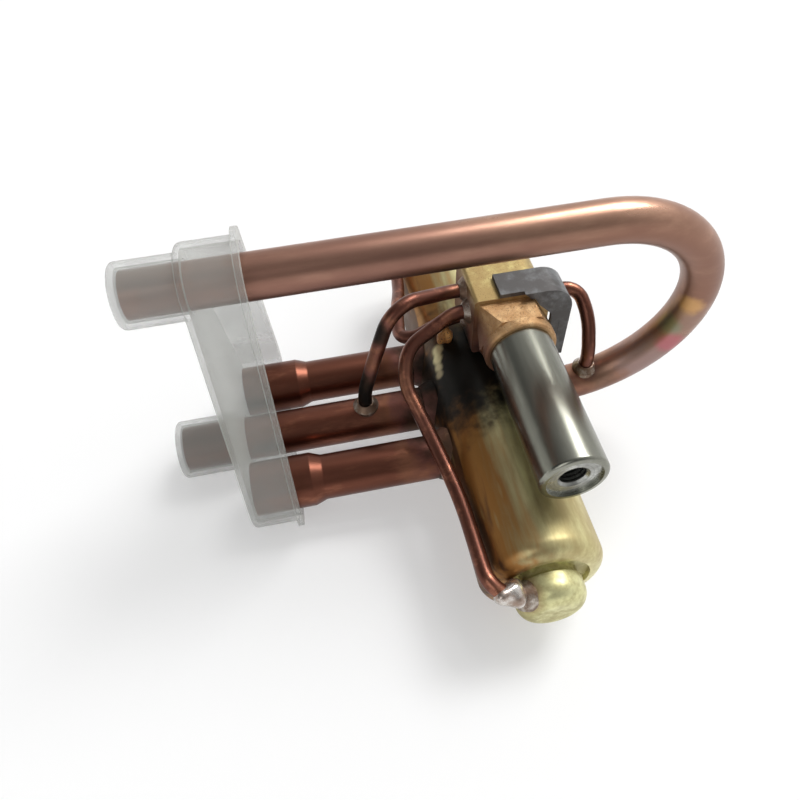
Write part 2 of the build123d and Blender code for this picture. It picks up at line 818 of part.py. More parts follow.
def cup_spring(side):
    """The thin dished ring that presses the cup's lip out."""
    start = screw_head + retainer_sheet
    back = start + spring_sheet
    hole = screw_radius + braze_gap
    rim = bore_radius - running_gap - cup_lip - braze_gap
    return turned(
        side,
        [
            (start, hole),
            (start, rim - spring_sheet),
            (screw_head, rim - spring_sheet),
            (screw_head, rim),
            (back, rim),
            (back, hole),
        ],
    )


def piston_cup(side):
    """The seal cup, its lip facing the barrel's end."""
    start = screw_head + retainer_sheet + spring_sheet
    back = start + cup_sheet
    lip_top = back - cup_lip_height - cup_sheet
    hole = screw_radius + braze_gap
    rim = bore_radius - running_gap
    return turned(
        side,
        [
            (start, hole),
            (start, rim - cup_lip),
            (lip_top, rim - cup_lip),
            (lip_top, rim),
            (back, rim),
            (back, hole),
        ],
    )


for side, end in ((-1, "front"), (1, "rear")):
    plate = piston_plate(side)
    plate.label = end + "_piston_plate"
    export_step(plate, "parts/" + plate.label + ".step")
    ring = cup_spring(side)
    ring.label = end + "_cup_spring"
    export_step(ring, "parts/" + ring.label + ".step")
    cup = piston_cup(side)
    cup.label = end + "_piston_cup"
    export_step(cup, "parts/" + cup.label + ".step")

# Piston screws, one in each piston
with BuildPart() as piston_screws:
    for side in (-1, 1):
        face = shuttle_rest + side * shuttle_half
        with BuildSketch(across(face)):
            Circle(screw_head_radius)
        extrude(amount=side * screw_head)
        with BuildSketch(across(face - side * screw_head)):
            Circle(screw_radius)
        extrude(amount=side * (tab_face - screw_head + frame_sheet + 1.0))
        with BuildSketch(across(face)):
            Rectangle(2 * screw_head_radius, 0.7)
        extrude(amount=side * 0.6, mode=Mode.SUBTRACT)
piston_screws.part.label = "piston_screws"
export_step(piston_screws.part, "parts/piston_screws.step")

# Transport cap: one moulded tray over all four tubes, with two long pockets
discharge_pocket = discharge_radius + cap_tube_gap
suction_pocket = service_radius + cap_tube_gap
discharge_tip = -discharge_reach - cap_tip_gap
suction_tip = -suction_reach - cap_tip_gap


def cap_hull(radius):
    """The tray's outline, a rounded triangle around the tubes, added to the open sketch."""
    with Locations(return_axis):
        Circle(radius - cap_slim)
    with Locations((-port_pitch, 0), (port_pitch, 0)):
        Circle(radius)
    make_hull()


with BuildPart() as transport_cap:
    with BuildSketch(Plane.YZ.offset(cap_outer)):
        cap_hull(cap_outline)
    extrude(amount=cap_inner - cap_outer)
    fillet(transport_cap.faces().sort_by(Axis.X)[0].edges(), cap_corner)
    with BuildSketch(Plane.YZ.offset(cap_inner - cap_wall)):
        cap_hull(cap_outline + cap_lip)
    extrude(amount=cap_wall)
    with BuildSketch(Plane.YZ.offset(cap_outer + cap_wall)):
        with Locations(return_axis):
            Circle(discharge_pocket + cap_wall)
    extrude(amount=discharge_tip - cap_wall - cap_outer - cap_wall)
    with BuildSketch(Plane.YZ.offset(cap_outer + cap_wall)):
        Circle(suction_pocket + cap_wall)
    extrude(amount=suction_tip - cap_wall - cap_outer - cap_wall)
    tips = transport_cap.faces().filter_by(Axis.X).sort_by(Axis.X)[:2]
    fillet([e for f in tips for e in f.edges()], cap_wall * 0.8)
    with BuildSketch(Plane.YZ.offset(cap_outer + cap_wall)):
        cap_hull(cap_outline - cap_wall)
    extrude(amount=cap_inner - cap_outer, mode=Mode.SUBTRACT)
    with BuildSketch(Plane.YZ.offset(cap_outer + cap_wall)):
        with Locations(return_axis):
            Circle(discharge_pocket)
    extrude(amount=discharge_tip - cap_outer - cap_wall, mode=Mode.SUBTRACT)
    with BuildSketch(Plane.YZ.offset(cap_outer + cap_wall)):
        Circle(suction_pocket)
    extrude(amount=suction_tip - cap_outer - cap_wall, mode=Mode.SUBTRACT)
transport_cap.part.label = "transport_cap"
export_step(transport_cap.part, "parts/transport_cap.step")
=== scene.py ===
# %% [markdown]
# A four-way reversing valve, the piece of a heat pump that swaps its heating and cooling.
# The CAD model gives every shape its size and place, and this file gives it its look: heat-stained
# copper, brass in several states, a polished steel sleeve and a milky plastic transport cap.
# We load the frame first.

# %% Load the frame
import json
import math

import bpy
from mathutils import Matrix, Vector


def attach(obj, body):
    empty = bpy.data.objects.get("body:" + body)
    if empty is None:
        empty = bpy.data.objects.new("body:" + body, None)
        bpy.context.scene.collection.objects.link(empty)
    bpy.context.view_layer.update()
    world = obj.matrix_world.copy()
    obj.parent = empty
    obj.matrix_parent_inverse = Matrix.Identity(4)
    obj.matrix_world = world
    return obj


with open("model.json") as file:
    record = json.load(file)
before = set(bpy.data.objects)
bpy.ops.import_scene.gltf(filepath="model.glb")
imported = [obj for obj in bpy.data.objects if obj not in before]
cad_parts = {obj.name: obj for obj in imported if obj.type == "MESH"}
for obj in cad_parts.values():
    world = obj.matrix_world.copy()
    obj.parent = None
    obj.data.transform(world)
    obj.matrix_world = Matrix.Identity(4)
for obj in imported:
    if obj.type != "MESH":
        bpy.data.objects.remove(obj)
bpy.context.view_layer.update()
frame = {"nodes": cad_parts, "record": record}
MM = 0.001


# %% [markdown]
# Every finish is a small tree of shader nodes. A few helpers keep the trees readable. One puts down
# a node and fills or links its sockets, the next ones do sums, fades and mixes, and the last starts
# a material whose pattern is measured in millimetres on the object, so a stain of 5 means 5 mm.

# %% Helpers for shader nodes
def put(tree, kind, sockets=None, **settings):
    """A node of this kind, with its settings made and its sockets filled or linked."""
    node = tree.nodes.new(kind)
    for name, value in settings.items():
        setattr(node, name, value)
    for key, value in (sockets or {}).items():
        if isinstance(value, bpy.types.NodeSocket):
            tree.links.new(value, node.inputs[key])
        else:
            node.inputs[key].default_value = value
    return node


def calc(tree, operation, first, second=0.0, third=0.0):
    """The value of one sum."""
    node = put(tree, "ShaderNodeMath", {0: first, 1: second, 2: third}, operation=operation)
    return node.outputs[0]


def vector_calc(tree, operation, first, second):
    """One sum on vectors."""
    node = put(tree, "ShaderNodeVectorMath", {0: first, 1: second}, operation=operation)
    return node.outputs["Value" if operation in ("DISTANCE", "LENGTH") else "Vector"]


def fade(tree, value, low, high, out_low=0.0, out_high=1.0):
    """value between low and high, eased to run from out_low to out_high."""
    node = put(
        tree,
        "ShaderNodeMapRange",
        {"Value": value, "From Min": low, "From Max": high, "To Min": out_low, "To Max": out_high},
        interpolation_type="SMOOTHSTEP",
    )
    return node.outputs["Result"]


def colours(tree, factor, first, second, blend="MIX"):
    """Two colours mixed by a factor."""
    node = put(tree, "ShaderNodeMix", {"Factor": factor}, data_type="RGBA", blend_type=blend)
    for socket, value in (("A_Color", first), ("B_Color", second)):
        target = next(s for s in node.inputs if s.identifier == socket)
        if isinstance(value, bpy.types.NodeSocket):
            tree.links.new(value, target)
        else:
            target.default_value = (*value, 1.0)
    return next(s for s in node.outputs if s.identifier == "Result_Color")


def scaled(tree, place, size, stretch=None):
    """The place, stretched along its axes and counted in steps of this size."""
    if stretch is not None:
        place = vector_calc(tree, "MULTIPLY", place, stretch)
    shrink = calc(tree, "DIVIDE", 1.0, size)
    return put(tree, "ShaderNodeVectorMath", {0: place, "Scale": shrink}, operation="SCALE").outputs["Vector"]


def emboss(tree, shader, height, strength, depth):
    """Bump on a shader, its depth in millimetres."""
    bump = put(tree, "ShaderNodeBump", {"Height": height, "Strength": strength, "Distance": depth * MM})
    tree.links.new(bump.outputs["Normal"], shader.inputs["Normal"])


def new_finish(name):
    """A material with an empty Principled shader, and the place on the object in millimetres."""
    material = bpy.data.materials.new(name)
    material.use_nodes = True
    tree = material.node_tree
    shader = next(n for n in tree.nodes if n.type == "BSDF_PRINCIPLED")
    place = put(tree, "ShaderNodeTexCoord").outputs["Object"]
    place = vector_calc(tree, "MULTIPLY", place, (1 / MM, 1 / MM, 1 / MM))
    return material, tree, shader, place


# %% [markdown]
# Four effects come back on many parts, so each is a node group with named sockets: tarnish in
# patches, the rainbow of colours that a torch leaves round a brazed joint, fine scuffs, and the
# skin of a rough forging.

# %% Start a node group
def new_group(name, inputs, outputs):
    """An empty shader group, its input node and its output node."""
    group = bpy.data.node_groups.new(name, "ShaderNodeTree")
    for title, kind, value in inputs:
        socket = group.interface.new_socket(title, in_out="INPUT", socket_type="NodeSocket" + kind)
        socket.default_value = value
    for title, kind in outputs:
        group.interface.new_socket(title, in_out="OUTPUT", socket_type="NodeSocket" + kind)
    return group, group.nodes.new("NodeGroupInput").outputs, group.nodes.new("NodeGroupOutput")


def group_node(tree, group, **sockets):
    """The outputs of a group node with its sockets filled."""
    node = put(tree, "ShaderNodeGroup", node_tree=group)
    for key, value in sockets.items():
        if isinstance(value, bpy.types.NodeSocket):
            tree.links.new(value, node.inputs[key])
        else:
            is_colour = node.inputs[key].type == "RGBA"
            node.inputs[key].default_value = (*value, 1.0) if is_colour else value
    return node.outputs


# %% Tarnish in patches
TARNISH, enter, leave = new_group(
    "Tarnish",
    [
        ("Place", "Vector", (0, 0, 0)),
        ("Stretch", "Vector", (1, 1, 1)),
        ("Clean", "Color", (0.8, 0.8, 0.8, 1)),
        ("Dull", "Color", (0.3, 0.3, 0.3, 1)),
        ("Patch", "Float", 10.0),
        ("Amount", "Float", 0.5),
    ],
    [("Color", "Color"), ("Mask", "Float")],
)
sized = scaled(TARNISH, enter["Place"], enter["Patch"], enter["Stretch"])
wide = put(TARNISH, "ShaderNodeTexNoise", {"Vector": sized, "Scale": 1.0, "Detail": 5.0, "Roughness": 0.6})
fine = put(TARNISH, "ShaderNodeTexNoise", {"Vector": sized, "Scale": 5.0, "Detail": 4.0, "Roughness": 0.7})
both = calc(TARNISH, "MULTIPLY_ADD", fine.outputs["Fac"], 0.3, wide.outputs["Fac"])
edge = calc(TARNISH, "SUBTRACT", 1.12, enter["Amount"])
dull = fade(TARNISH, both, calc(TARNISH, "SUBTRACT", edge, 0.28), calc(TARNISH, "ADD", edge, 0.10))
TARNISH.links.new(dull, leave.inputs["Mask"])
TARNISH.links.new(colours(TARNISH, dull, enter["Clean"], enter["Dull"]), leave.inputs["Color"])
print("group:", TARNISH.name)

# %% Heat colours round a brazed joint
HEAT, enter, leave = new_group(
    "Heat colours",
    [
        ("Place", "Vector", (0, 0, 0)),
        ("Joint", "Vector", (0, 0, 0)),
        ("Reach", "Float", 12.0),
        ("Color", "Color", (0.8, 0.8, 0.8, 1)),
        ("Soot", "Float", 0.5),
        ("Strength", "Float", 1.0),
    ],
    [("Color", "Color"), ("Mask", "Float")],
)
waver = put(HEAT, "ShaderNodeTexNoise", {"Vector": enter["Place"], "Scale": 0.16, "Detail": 4.0})
distance = vector_calc(HEAT, "DISTANCE", enter["Place"], enter["Joint"])
distance = calc(HEAT, "DIVIDE", distance, enter["Reach"])
distance = calc(HEAT, "MULTIPLY_ADD", calc(HEAT, "SUBTRACT", waver.outputs["Fac"], 0.5), 0.9, distance)
rainbow = put(HEAT, "ShaderNodeValToRGB", {"Fac": distance})
stops = rainbow.color_ramp
stops.elements[0].position, stops.elements[0].color = 0.18, (0.030, 0.024, 0.020, 1)
stops.elements[1].position, stops.elements[1].color = 1.0, (0.40, 0.23, 0.13, 1)
for position, colour in (
    (0.36, (0.085, 0.045, 0.030, 1)),
    (0.55, (0.20, 0.085, 0.070, 1)),
    (0.72, (0.33, 0.15, 0.085, 1)),
):
    stops.elements.new(position).color = colour
near = fade(HEAT, distance, 0.35, 1.0, 1.0, 0.0)
near = calc(HEAT, "MULTIPLY", near, enter["Strength"])
tinted = colours(HEAT, near, enter["Color"], rainbow.outputs["Color"])
black = fade(HEAT, distance, 0.15, 0.62, 1.0, 0.0)
black = calc(HEAT, "MULTIPLY", black, enter["Soot"])
HEAT.links.new(colours(HEAT, black, tinted, (0.016, 0.014, 0.012)), leave.inputs["Color"])
HEAT.links.new(near, leave.inputs["Mask"])
print("group:", HEAT.name)

# %% Scuffs
SCUFF, enter, leave = new_group(
    "Scuffs",
    [("Place", "Vector", (0, 0, 0)), ("Stretch", "Vector", (1, 1, 1)), ("Size", "Float", 1.0)],
    [("Height", "Float"), ("Mask", "Float")],
)
sized = scaled(SCUFF, enter["Place"], enter["Size"], enter["Stretch"])
lines = put(SCUFF, "ShaderNodeTexNoise", {"Vector": sized, "Scale": 1.0, "Detail": 6.0, "Roughness": 0.75})
nicks = put(SCUFF, "ShaderNodeTexVoronoi", {"Vector": sized, "Scale": 0.35}, feature="F1")
SCUFF.links.new(lines.outputs["Fac"], leave.inputs["Height"])
nick = fade(SCUFF, nicks.outputs["Distance"], 0.05, 0.16, 1.0, 0.0)
SCUFF.links.new(nick, leave.inputs["Mask"])
print("group:", SCUFF.name)

# %% Skin of a forging
SKIN, enter, leave = new_group(
    "Forged skin",
    [("Place", "Vector", (0, 0, 0)), ("Grain", "Float", 0.6)],
    [("Height", "Float"), ("Pits", "Float")],
)
sized = scaled(SKIN, enter["Place"], enter["Grain"])
grain = put(SKIN, "ShaderNodeTexNoise", {"Vector": sized, "Scale": 1.0, "Detail": 5.0, "Roughness": 0.65})
holes = put(SKIN, "ShaderNodeTexVoronoi", {"Vector": sized, "Scale": 0.9}, feature="F1")
pit = fade(SKIN, holes.outputs["Distance"], 0.12, 0.34, 1.0, 0.0)
SKIN.links.new(calc(SKIN, "MULTIPLY_ADD", pit, -0.6, grain.outputs["Fac"]), leave.inputs["Height"])
SKIN.links.new(pit, leave.inputs["Pits"])
print("group:", SKIN.name)


# %% [markdown]
# Metals differ here in four ways only: their clean colour, their tarnish, how rough they are and
# how deep their scuffs go. One maker therefore serves them all, and each material adds the heat
# colours of its own joints.

# %% A maker for metals
def metal(
    name,
    clean,
    dull,
    patch=9.0,
    amount=0.5,
    stretch=(1, 1, 1),
    metallic=0.85,
    roughness=(0.26, 0.5),
    joints=(),
    scuff=(1, 1, 1),
    scuff_size=1.2,
    depth=0.02,
    paint=None,
):
    """A metal with tarnish, heat colours at its joints and fine scuffs."""
    material, tree, shader, place = new_finish(name)
    coat = group_node(
        tree, TARNISH, Place=place, Stretch=stretch, Clean=clean, Dull=dull, Patch=patch, Amount=amount
    )
    colour = coat["Color"]
    rough = fade(tree, coat["Mask"], 0.0, 1.0, *roughness)
    for joint, reach, soot, strength in joints:
        heated = group_node(
            tree, HEAT, Place=place, Joint=joint, Reach=reach, Color=colour, Soot=soot, Strength=strength
        )
        colour = heated["Color"]
        rough = calc(tree, "MULTIPLY_ADD", heated["Mask"], 0.16, rough)
    if paint:
        colour = paint(tree, place, colour)
    marks = group_node(tree, SCUFF, Place=place, Stretch=scuff, Size=scuff_size)
    colour = colours(tree, calc(tree, "MULTIPLY", marks["Mask"], 0.35), colour, dull)
    emboss(tree, shader, marks["Height"], 0.5, depth)
    tree.links.new(colour, shader.inputs["Base Color"])
    tree.links.new(rough, shader.inputs["Roughness"])
    shader.inputs["Metallic"].default_value = metallic
    print("finish:", name)
    return material


# %% [markdown]
# The discharge tube is one bent copper tube, fresh pink-brown on its long straight leg. The bend
# carries the torch's colours: a straw spot, then green and magenta, where the tube turns down
# Each stain is a soft ball of colour round a point on the tube, and the tube's underside is painted darker as
# shade.

# %% Stains, painted sheen and painted shade at given places
def stain_and_sheen(tree, place, colour, centre, reach, tint, strength):
    """A soft patch of one colour, wavering at its edge, used for stains and for painted highlight."""
    noise = put(tree, "ShaderNodeTexNoise", {"Vector": place, "Scale": 0.35, "Detail": 3.0})
    distance = calc(tree, "DIVIDE", vector_calc(tree, "DISTANCE", place, centre), reach)
    distance = calc(tree, "MULTIPLY_ADD", calc(tree, "SUBTRACT", noise.outputs["Fac"], 0.5), 0.8, distance)
    factor = fade(tree, distance, 0.35, 1.0, strength, 0.0)
    return colours(tree, factor, colour, tint)


def bend_stains_and_underside_shade(tree, place, colour):
    """A browner leg, painted shade on the underside, and the torch's colours on the bend of the discharge
    tube.
    """
    along = put(tree, "ShaderNodeSeparateXYZ", {0: place}).outputs
    facing = put(tree, "ShaderNodeTexCoord").outputs["Normal"]
    facing = put(tree, "ShaderNodeSeparateXYZ", {0: facing}).outputs["Z"]
    wander = put(tree, "ShaderNodeTexNoise", {"Vector": place, "Scale": 0.12, "Detail": 3.0}).outputs["Fac"]
    # Painted shade: the side of the tube that faces down is darkened to brown, wavering a little.
    underside_shade = calc(tree, "MULTIPLY_ADD", calc(tree, "SUBTRACT", wander, 0.5), 0.8, facing)
    colour = colours(tree, fade(tree, underside_shade, 0.75, -0.1, 0.0, 0.55), colour, (0.16, 0.075, 0.055))
    leg = calc(tree, "MULTIPLY_ADD", wander, 24.0, along["X"])
    colour = colours(tree, fade(tree, leg, 26.0, -14.0, 0.0, 0.35), colour, (0.24, 0.11, 0.095))
    for centre, reach, tint, strength in (
        ((36, -4, 9), 9, (0.34, 0.25, 0.24), 0.65),
        ((38.5, -5.4, 21), 7.5, (0.30, 0.21, 0.17), 0.6),
        ((39.9, -5.8, 26), 3.6, (0.62, 0.36, 0.14), 0.7),
        ((38.2, -4.3, 19.0), 3.4, (0.20, 0.26, 0.17), 0.6),
        ((39.2, -5.6, 14.6), 4.0, (0.50, 0.13, 0.17), 0.6),
        ((27, -2, 3.5), 5, (0.12, 0.08, 0.06), 0.6),
    ):
        colour = stain_and_sheen(tree, place, colour, centre, reach, tint, strength)
    return colour


# %% Copper of the tubes
copper = metal(
    "Copper of the discharge tube",
    clean=(0.68, 0.41, 0.285),
    dull=(0.36, 0.20, 0.14),
    patch=13,
    amount=0.50,
    stretch=(0.25, 1, 1),
    metallic=0.95,
    roughness=(0.2, 0.36),
    joints=(((15.5, 0, 0), 13, 0.7, 0.9), ((24, 0, 5), 5, 0.6, 0.9)),
    scuff=(0.25, 1, 1),
    scuff_size=1.6,
    depth=0.03,
    paint=bend_stains_and_underside_shade,
)
service_copper = metal(
    "Copper of the service tubes",
    clean=(0.50, 0.20, 0.12),
    dull=(0.15, 0.055, 0.035),
    patch=8,
    amount=0.6,
    stretch=(0.3, 1, 1),
    metallic=0.95,
    roughness=(0.2, 0.36),
    joints=(
        ((-13, 0, 0), 15, 0.75, 1.0),
        ((-13, 13.4, 0), 13, 0.6, 1.0),
        ((-13, -13.4, 0), 11, 0.55, 1.0),
    ),
    scuff=(0.3, 1, 1),
    scuff_size=1.4,
    depth=0.03,
)
capillary_copper = metal(
    "Copper of the capillaries",
    clean=(0.56, 0.24, 0.145),
    dull=(0.15, 0.06, 0.042),
    patch=5,
    amount=0.55,
    metallic=0.95,
    roughness=(0.2, 0.38),
    joints=(((-25, 1, 10), 12, 0.95, 1.0), ((-22, 3, 24), 6, 0.8, 0.8), ((-4, 9, 22), 6, 0.4, 0.8)),
    scuff_size=0.8,
    depth=0.02,
)

# %% [markdown]
# The barrel is brass. Its front half is still yellow; towards the side with the tubes it is streaked
# brown-grey, then orange from the torch, then near black at the far edge. The torch has left soot under the
# pilot valve, and a pale strip of painted highlight runs along the upper left. The end caps stay the
# brightest.

# %% Brass of the barrel and caps
def barrel_marks_and_highlight(tree, place, colour):
    """Streaks down the tube side, brown-grey, then orange, then near black at the far edge; a pale strip of
    painted highlight; and the soot under the pilot valve.
    """
    side = put(tree, "ShaderNodeSeparateXYZ", {0: place}).outputs["X"]
    drawn = vector_calc(tree, "MULTIPLY", place, (0.5, 0.06, 0.5))
    streaks = put(tree, "ShaderNodeTexNoise", {"Vector": drawn, "Scale": 1.0, "Detail": 5.0}).outputs["Fac"]
    # Brown-grey across the middle, orange further out and near black at the far left edge, all streaked along
    # the barrel.
    edge = calc(tree, "MULTIPLY_ADD", calc(tree, "SUBTRACT", streaks, 0.5), 14.0, side)
    colour = colours(tree, fade(tree, edge, 3.0, -3.0, 0.0, 0.55), colour, (0.22, 0.16, 0.075))
    colour = colours(tree, fade(tree, edge, -1.0, -7.5, 0.0, 0.9), colour, (0.36, 0.15, 0.03))
    colour = colours(tree, fade(tree, edge, -8.5, -11.5, 0.0, 0.85), colour, (0.07, 0.035, 0.02))
    for centre, reach, tint, strength in (
        ((-3, 3, 10), 24, (0.060, 0.034, 0.018), 0.9),
        ((-4, 0, 10), 18, (0.012, 0.012, 0.010), 0.97),
        # The next four are a pale strip of painted highlight along the barrel's upper left side.
        ((-8.5, 8.5, 8.8), 2.2, (0.66, 0.58, 0.32), 0.9),
        ((-8.8, 6.3, 8.5), 2.0, (0.66, 0.58, 0.32), 0.9),
        ((-9.1, 4.2, 8.2), 1.8, (0.60, 0.52, 0.30), 0.85),
        ((-9.4, 2.3, 7.9), 1.6, (0.50, 0.42, 0.26), 0.8),
    ):
        colour = stain_and_sheen(tree, place, colour, centre, reach, tint, strength)
    return colour


barrel_brass = metal(
    "Brass of the barrel",
    clean=(0.80, 0.76, 0.40),
    dull=(0.46, 0.37, 0.17),
    patch=10,
    amount=0.40,
    stretch=(1, 0.35, 1),
    metallic=0.66,
    roughness=(0.28, 0.44),
    joints=(((-11, 0, 0), 15, 0.8, 1.0),),
    scuff=(1, 0.15, 1),
    scuff_size=0.9,
    depth=0.02,
    paint=barrel_marks_and_highlight,
)
cap_brass = metal(
    "Brass of the end caps",
    clean=(0.80, 0.78, 0.42),
    dull=(0.42, 0.37, 0.17),
    patch=6,
    amount=0.42,
    metallic=0.72,
    roughness=(0.3, 0.5),
    joints=(((-5.6, -48.6, 3.8), 4.5, 0.4, 0.7), ((-5.6, 48.6, 3.8), 4.5, 0.4, 0.7)),
    scuff_size=0.8,
    depth=0.02,
)
machined_brass = metal(
    "Machined brass",
    clean=(0.66, 0.50, 0.22),
    dull=(0.42, 0.30, 0.13),
    patch=4,
    amount=0.35,
    roughness=(0.2, 0.35),
    scuff_size=0.5,
    depth=0.01,
)

# %% [markdown]
# Three brazing alloys hold the valve together: a coppery one, burnt dark, round the big tubes, a dull
# silver one at the capillaries, and the same silver left bright where it ran over the front nub.

# %% Brazing alloys
braze = metal(
    "Brazing alloy",
    clean=(0.46, 0.30, 0.16),
    dull=(0.10, 0.07, 0.05),
    patch=3,
    amount=0.6,
    metallic=0.8,
    roughness=(0.28, 0.5),
    joints=(((-4, 3, 6), 24, 0.95, 1.0),),
    scuff_size=0.9,
    depth=0.12,
)
solder = metal(
    "Silver braze of the capillaries",
    clean=(0.62, 0.58, 0.52),
    dull=(0.20, 0.13, 0.09),
    patch=2.5,
    amount=0.5,
    metallic=0.85,
    roughness=(0.2, 0.45),
    scuff_size=0.9,
    depth=0.12,
)
bright_solder = metal(
    "Fresh silver braze",
    clean=(0.80, 0.78, 0.74),
    dull=(0.34, 0.25, 0.20),
    patch=3.5,
    amount=0.36,
    metallic=0.9,
    roughness=(0.14, 0.34),
    scuff_size=1.6,
    depth=0.12,
)


# %% [markdown]
# The pilot body is a brass forging. Its hexagonal collar keeps the sandy skin of the forging die, and the
# block behind it is milled. Its left and lower faces are dark copper-brown, partly washed with copper from
# the brazing and partly painted shade.

# %% Brass of the pilot body
COLLAR_END = (2.1, 2.5)


def forging():
    """Sandy forged brass in front, milled and heat-stained brass behind, dark copper-brown on the left and
    lower faces, partly painted shade.
    """
    material, tree, shader, place = new_finish("Forged brass of the pilot body")
    skin = group_node(tree, SKIN, Place=place, Grain=0.38)
    sand = group_node(
        tree, TARNISH, Place=place, Clean=(0.66, 0.44, 0.23), Dull=(0.44, 0.25, 0.11), Patch=2.5, Amount=0.45
    )
    milled = group_node(
        tree, TARNISH, Place=place, Clean=(0.56, 0.47, 0.20), Dull=(0.36, 0.25, 0.10), Patch=5.0, Amount=0.5
    )
    along = put(tree, "ShaderNodeSeparateXYZ", {0: place}).outputs
    behind = fade(tree, along["Y"], *COLLAR_END)
    colour = colours(tree, behind, sand["Color"], milled["Color"])
    colour = colours(tree, calc(tree, "MULTIPLY", skin["Pits"], 0.5), colour, (0.14, 0.075, 0.035))
    # Dark copper-brown on the left and lower faces: partly washed with copper from the brazing, partly
    # painted shade.
    slant = calc(tree, "MULTIPLY_ADD", along["Z"], 0.55, along["X"])
    wash_and_shade = fade(tree, slant, 10.5, 14.0, 0.92, 0.0)
    colour = colours(tree, wash_and_shade, colour, (0.20, 0.095, 0.062))
    heated = group_node(
        tree, HEAT, Place=place, Joint=(-1.0, 7, 13), Reach=9.0, Color=colour, Soot=0.85, Strength=0.9
    )
    tree.links.new(heated["Color"], shader.inputs["Base Color"])
    rough = calc(tree, "MULTIPLY_ADD", skin["Height"], 0.25, 0.32)
    tree.links.new(rough, shader.inputs["Roughness"])
    relief = calc(tree, "MULTIPLY", skin["Height"], fade(tree, along["Y"], *COLLAR_END, 1.0, 0.25))
    emboss(tree, shader, relief, 0.7, 0.18)
    shader.inputs["Metallic"].default_value = 0.7
    return material


forged_brass = forging()

# %% [markdown]
# Steel comes in three states: the drawn sleeve is nearly a mirror, the turned plug has fine rings,
# and the stamped bracket is dark with a grey bloom.

# %% Steels
sleeve_steel = metal(
    "Polished steel of the sleeve",
    clean=(0.35, 0.355, 0.305),
    dull=(0.22, 0.22, 0.185),
    patch=10,
    amount=0.4,
    stretch=(1, 0.15, 1),
    metallic=1.0,
    roughness=(0.19, 0.27),
    scuff=(1, 0.05, 1),
    scuff_size=0.5,
    depth=0.006,
)


SLEEVE_AXIS = (5.6, 0, 20.35)
THREAD_PITCH = 0.8
RING_PITCH = 0.7
THREAD_EDGE = (2.55, 2.7)


def thread_lines(tree, place, colour):
    """Dark lines for the thread in the coil's screw hole, and fine turned rings on the face."""
    flat = vector_calc(tree, "MULTIPLY", vector_calc(tree, "SUBTRACT", place, SLEEVE_AXIS), (1, 0, 1))
    radius = vector_calc(tree, "LENGTH", flat, (0, 0, 0))
    along = put(tree, "ShaderNodeSeparateXYZ", {0: place}).outputs["Y"]
    turn = calc(tree, "SINE", calc(tree, "MULTIPLY", along, 2 * math.pi / THREAD_PITCH))
    rings = calc(tree, "SINE", calc(tree, "MULTIPLY", radius, 2 * math.pi / RING_PITCH))
    inside = fade(tree, radius, *THREAD_EDGE, 1.0, 0.0)
    dark = calc(tree, "MULTIPLY", fade(tree, turn, -0.2, 0.6), inside)
    dark = calc(tree, "MAXIMUM", dark, calc(tree, "MULTIPLY", fade(tree, rings, 0.2, 0.9), 0.25))
    return colours(tree, calc(tree, "MULTIPLY", dark, 0.8), colour, (0.03, 0.03, 0.027))


core_steel = metal(
    "Turned steel of the core",
    clean=(0.52, 0.53, 0.50),
    dull=(0.30, 0.30, 0.28),
    patch=3,
    amount=0.4,
    metallic=0.9,
    roughness=(0.24, 0.38),
    scuff_size=0.4,
    depth=0.01,
    paint=thread_lines,
)
turned_steel = metal(
    "Turned steel",
    clean=(0.36, 0.36, 0.345),
    dull=(0.20, 0.195, 0.185),
    patch=5,
    amount=0.45,
    metallic=1.0,
    roughness=(0.2, 0.34),
    scuff=(1, 0.1, 1),
    scuff_size=0.4,
    depth=0.01,
)
bracket_steel = metal(
    "Stamped steel of the bracket",
    clean=(0.20, 0.205, 0.21),
    dull=(0.085, 0.08, 0.078),
    patch=6,
    amount=0.5,
    metallic=0.75,
    roughness=(0.34, 0.5),
    scuff_size=1.0,
    depth=0.03,
)
spring_steel = metal(
    "Spring steel",
    clean=(0.5, 0.5, 0.49),
    dull=(0.3, 0.29, 0.28),
    patch=3,
    amount=0.4,
    metallic=1.0,
    roughness=(0.18, 0.3),
    scuff_size=0.5,
    depth=0.01,
)


# %% [markdown]
# Inside, the slide and its small twin in the pilot are dark filled nylon, and the piston cups are
# white fluoropolymer. They are never seen until somebody cuts a valve open, but they get their own
# finishes all the same.

# %% Plastics inside
def moulded(name, colour, shade, roughness):
    """A matt moulded plastic with a faint mottle."""
    material, tree, shader, place = new_finish(name)
    coat = group_node(tree, TARNISH, Place=place, Clean=colour, Dull=shade, Patch=2.0, Amount=0.45)
    marks = group_node(tree, SCUFF, Place=place, Size=0.8)
    tree.links.new(coat["Color"], shader.inputs["Base Color"])
    rough = calc(tree, "MULTIPLY_ADD", marks["Height"], 0.2, roughness)
    tree.links.new(rough, shader.inputs["Roughness"])
    emboss(tree, shader, marks["Height"], 0.4, 0.02)
    return material


dark_nylon = moulded("Filled nylon", (0.035, 0.032, 0.030), (0.02, 0.019, 0.018), 0.4)
white_seal = moulded("Fluoropolymer", (0.74, 0.73, 0.70), (0.62, 0.61, 0.58), 0.35)


# %% [markdown]
# The transport cap is thin milky polyethylene, and the tubes inside show through it as soft dark
# shapes. Its alpha does this: low where the wall is seen face on, higher in the flow marks and much
# higher where the wall is seen edge on, so every rim draws itself as a pale line.

